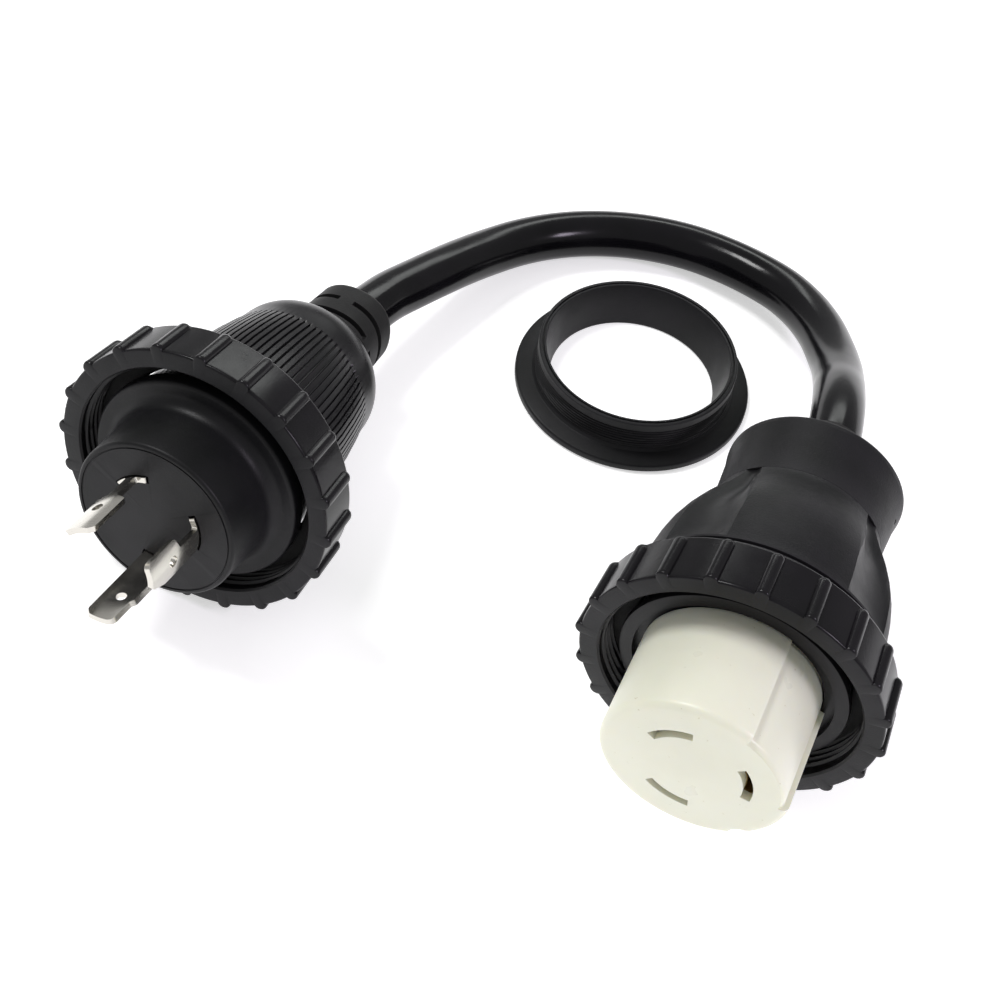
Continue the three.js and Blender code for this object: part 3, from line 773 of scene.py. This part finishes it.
def ring_shape(r, z, angle):
    """A fine external thread on the hub."""
    if r < 29.6 or z < 4.2:
        return r, z
    turn = (z - RING_THREAD["from"]) / RING_THREAD["pitch"] - angle / TAU
    ridge = math.cos(turn * TAU) * 0.5 + 0.5
    fade = smoothstep(z, 4.3, 5.4) * (1 - smoothstep(z, 10.9, 11.5))
    return r - RING_THREAD["height"] * (1 - ridge) * fade, z


def adapter_ring():
    outline = fillet([
        (25.4, 0, 0.4), (36.3, 0, 0.7), (36.3, 2.6, 0.8), (31.2, 3.4, 0.5), (30.4, 4.1), (30.4, 14, 0.4),
        (29.4, 14), (29.25, 13.55), (28.95, 13.55), (28.8, 14), (28.2, 14, 0.2), (25.5, 1.2),
    ], 4)
    rows = []
    for i, (r, z) in enumerate(outline):
        rows.append((r, z))
        next_r, next_z = outline[(i + 1) % len(outline)]
        if r > 30 and next_z - z > 5:
            for k in range(1, RING_WALL_ROWS):
                share = k / RING_WALL_ROWS
                rows.append((r + (next_r - r) * share, z + (next_z - z) * share))
    piece = loose("thread_adapter_ring_detail", lathe(rows, turns(144), ring_shape), ring_frame())
    finished(piece, "loose_ring", [SATIN], "moulding", "thread_adapter_ring")


adapter_ring()

# ---- the cable ----
# The same route as the CAD cable's middle line, in millimetres.
CABLE_ROUTE = [
    (-58.2, 3.6, 32.6), (-51.6, 24.2, 28.5), (-44.9, 45.2, 24.4), (-41.2, 53.6, 22.7),
    (-37.8, 60.6, 21.1), (-32, 69.6, 18.9), (-25.4, 79.3, 16.6), (-19, 88.7, 14), (-12.1, 97.7, 11.5),
    (-3.6, 106.4, 9.7), (6.2, 113.5, 8.5), (17.1, 118.5, 7.9), (28.9, 121.5, 7.6), (41, 122.3, 7.6),
    (53, 121, 7.7), (64, 117.1, 8.4), (74, 111.6, 9.4), (82.8, 104.2, 11), (89.5, 94.6, 13.1),
    (93.8, 83.5, 15.9), (96, 71.6, 19.3), (96.8, 60.3, 23.4), (96.1, 49.4, 28.2), (94.7, 39.2, 33.5),
    (93.2, 28.7, 37.4), (91.1, 15.9, 39.4), (86.9, 1.5, 39.4), (82.1, -14.8, 39.4),
]
CABLE_R = 7.45
CABLE_SIDES = 48


def catmull(points, per_span):
    """The centripetal curve through the points, sampled."""
    vectors = [Vector(p) for p in points]
    ends = [vectors[0] * 2 - vectors[1]] + vectors + [vectors[-1] * 2 - vectors[-2]]
    out = []
    for i in range(1, len(ends) - 2):
        a, b, c, d = ends[i - 1 : i + 3]
        t1 = (b - a).length ** 0.5
        t2 = t1 + (c - b).length ** 0.5
        t3 = t2 + (d - c).length ** 0.5
        for k in range(per_span):
            t = t1 + (t2 - t1) * k / per_span
            ab = a * (t1 - t) / t1 + b * t / t1
            bc = b * (t2 - t) / (t2 - t1) + c * (t - t1) / (t2 - t1)
            cd = c * (t3 - t) / (t3 - t2) + d * (t - t2) / (t3 - t2)
            abc = ab * (t2 - t) / t2 + bc * t / t2
            bcd = bc * (t3 - t) / (t3 - t1) + cd * (t - t1) / (t3 - t1)
            out.append(abc * (t2 - t) / (t2 - t1) + bcd * (t - t1) / (t2 - t1))
    return out + [vectors[-1]]


def cable():
    path = catmull(CABLE_ROUTE, 5)
    made = bmesh.new()
    rows = []
    across = Vector((0, 0, 1))
    for i, at in enumerate(path):
        along = (path[min(i + 1, len(path) - 1)] - path[max(i - 1, 0)]).normalized()
        across = (across - along * across.dot(along)).normalized()
        other = along.cross(across)
        row = [at + (across * math.cos(t) + other * math.sin(t)) * CABLE_R for t in turns(CABLE_SIDES)]
        rows.append([made.verts.new(point) for point in row])
    for before, after in zip(rows, rows[1:]):
        for k in range(CABLE_SIDES):
            n = (k + 1) % CABLE_SIDES
            made.faces.new((before[k], before[n], after[n], after[k]))
    made.faces.new(rows[0])
    made.faces.new(rows[-1])
    bmesh.ops.recalc_face_normals(made, faces=made.faces)
    piece = loose("cable_detail", made)
    finished(piece, "adapter", [JACKET], "jacket", "cable_jacket")


cable()


# ---- the CAD pieces that show as they are ----
def paint(node, material):
    data = NODES[node].data
    data.materials.clear()
    data.materials.append(material)


for node in NODES:
    if "gasket" in node:
        paint(node, GASKET)
    elif "crimp" in node or "contact" in node:
        paint(node, BRASS)
    elif "wire" in node:
        paint(node, WIRES[node.split("_")[1]])
    elif "screw" in node or "clamp" in node:
        paint(node, STEEL)
    elif "retainer" in node:
        paint(node, SATIN)


# ---- floor, light ----
def floor():
    made = bmesh.new()
    bmesh.ops.create_grid(made, x_segments=2, y_segments=2, size=4000)
    piece = loose("floor", made, Matrix.Translation((0, 0, -0.0002)))
    look = Look("floor_white", 0.85, Emission_Color=(1, 1, 1, 1), Emission_Strength=0.5)
    look.colour(look.ramp(look.noise(3, 2, 0.5), [(0.3, (0.9, 0.9, 0.9)), (0.7, (0.92, 0.92, 0.92))]))
    look.bump(look.noise(300, 2, 0.5), 0.02, 0.0001)
    piece.data.materials.append(look.material)


def softbox(name, at, target, size, power, tint=(1, 1, 1)):
    data = bpy.data.lights.new(name, "AREA")
    data.shape, data.size, data.size_y = "RECTANGLE", *size
    data.energy, data.color = power, tint
    lamp = bpy.data.objects.new(name, data)
    SCENE.collection.objects.link(lamp)
    lamp.location = at
    lamp.rotation_euler = (Vector(target) - Vector(at)).to_track_quat("-Z", "Y").to_euler()


floor()
softbox("key", (-0.5, 0.25, 1.1), (0, 0, 0), (0.3, 0.3), 7)
softbox("fill", (0.9, -0.35, 0.8), (0, 0, 0), (0.25, 0.25), 4.5, (0.93, 0.84, 1.0))
softbox("back", (0.1, 1.1, 0.7), (0, 0, 0), (0.9, 0.2), 3, (0.95, 0.98, 0.96))

world = bpy.data.worlds.new("studio")
world.use_nodes = True
world.node_tree.nodes["Background"].inputs["Color"].default_value = (1, 1, 1, 1)
world.node_tree.nodes["Background"].inputs["Strength"].default_value = 0.45
SCENE.world = world
SCENE.view_settings.view_transform = "Standard"
SCENE.view_settings.look = "None"
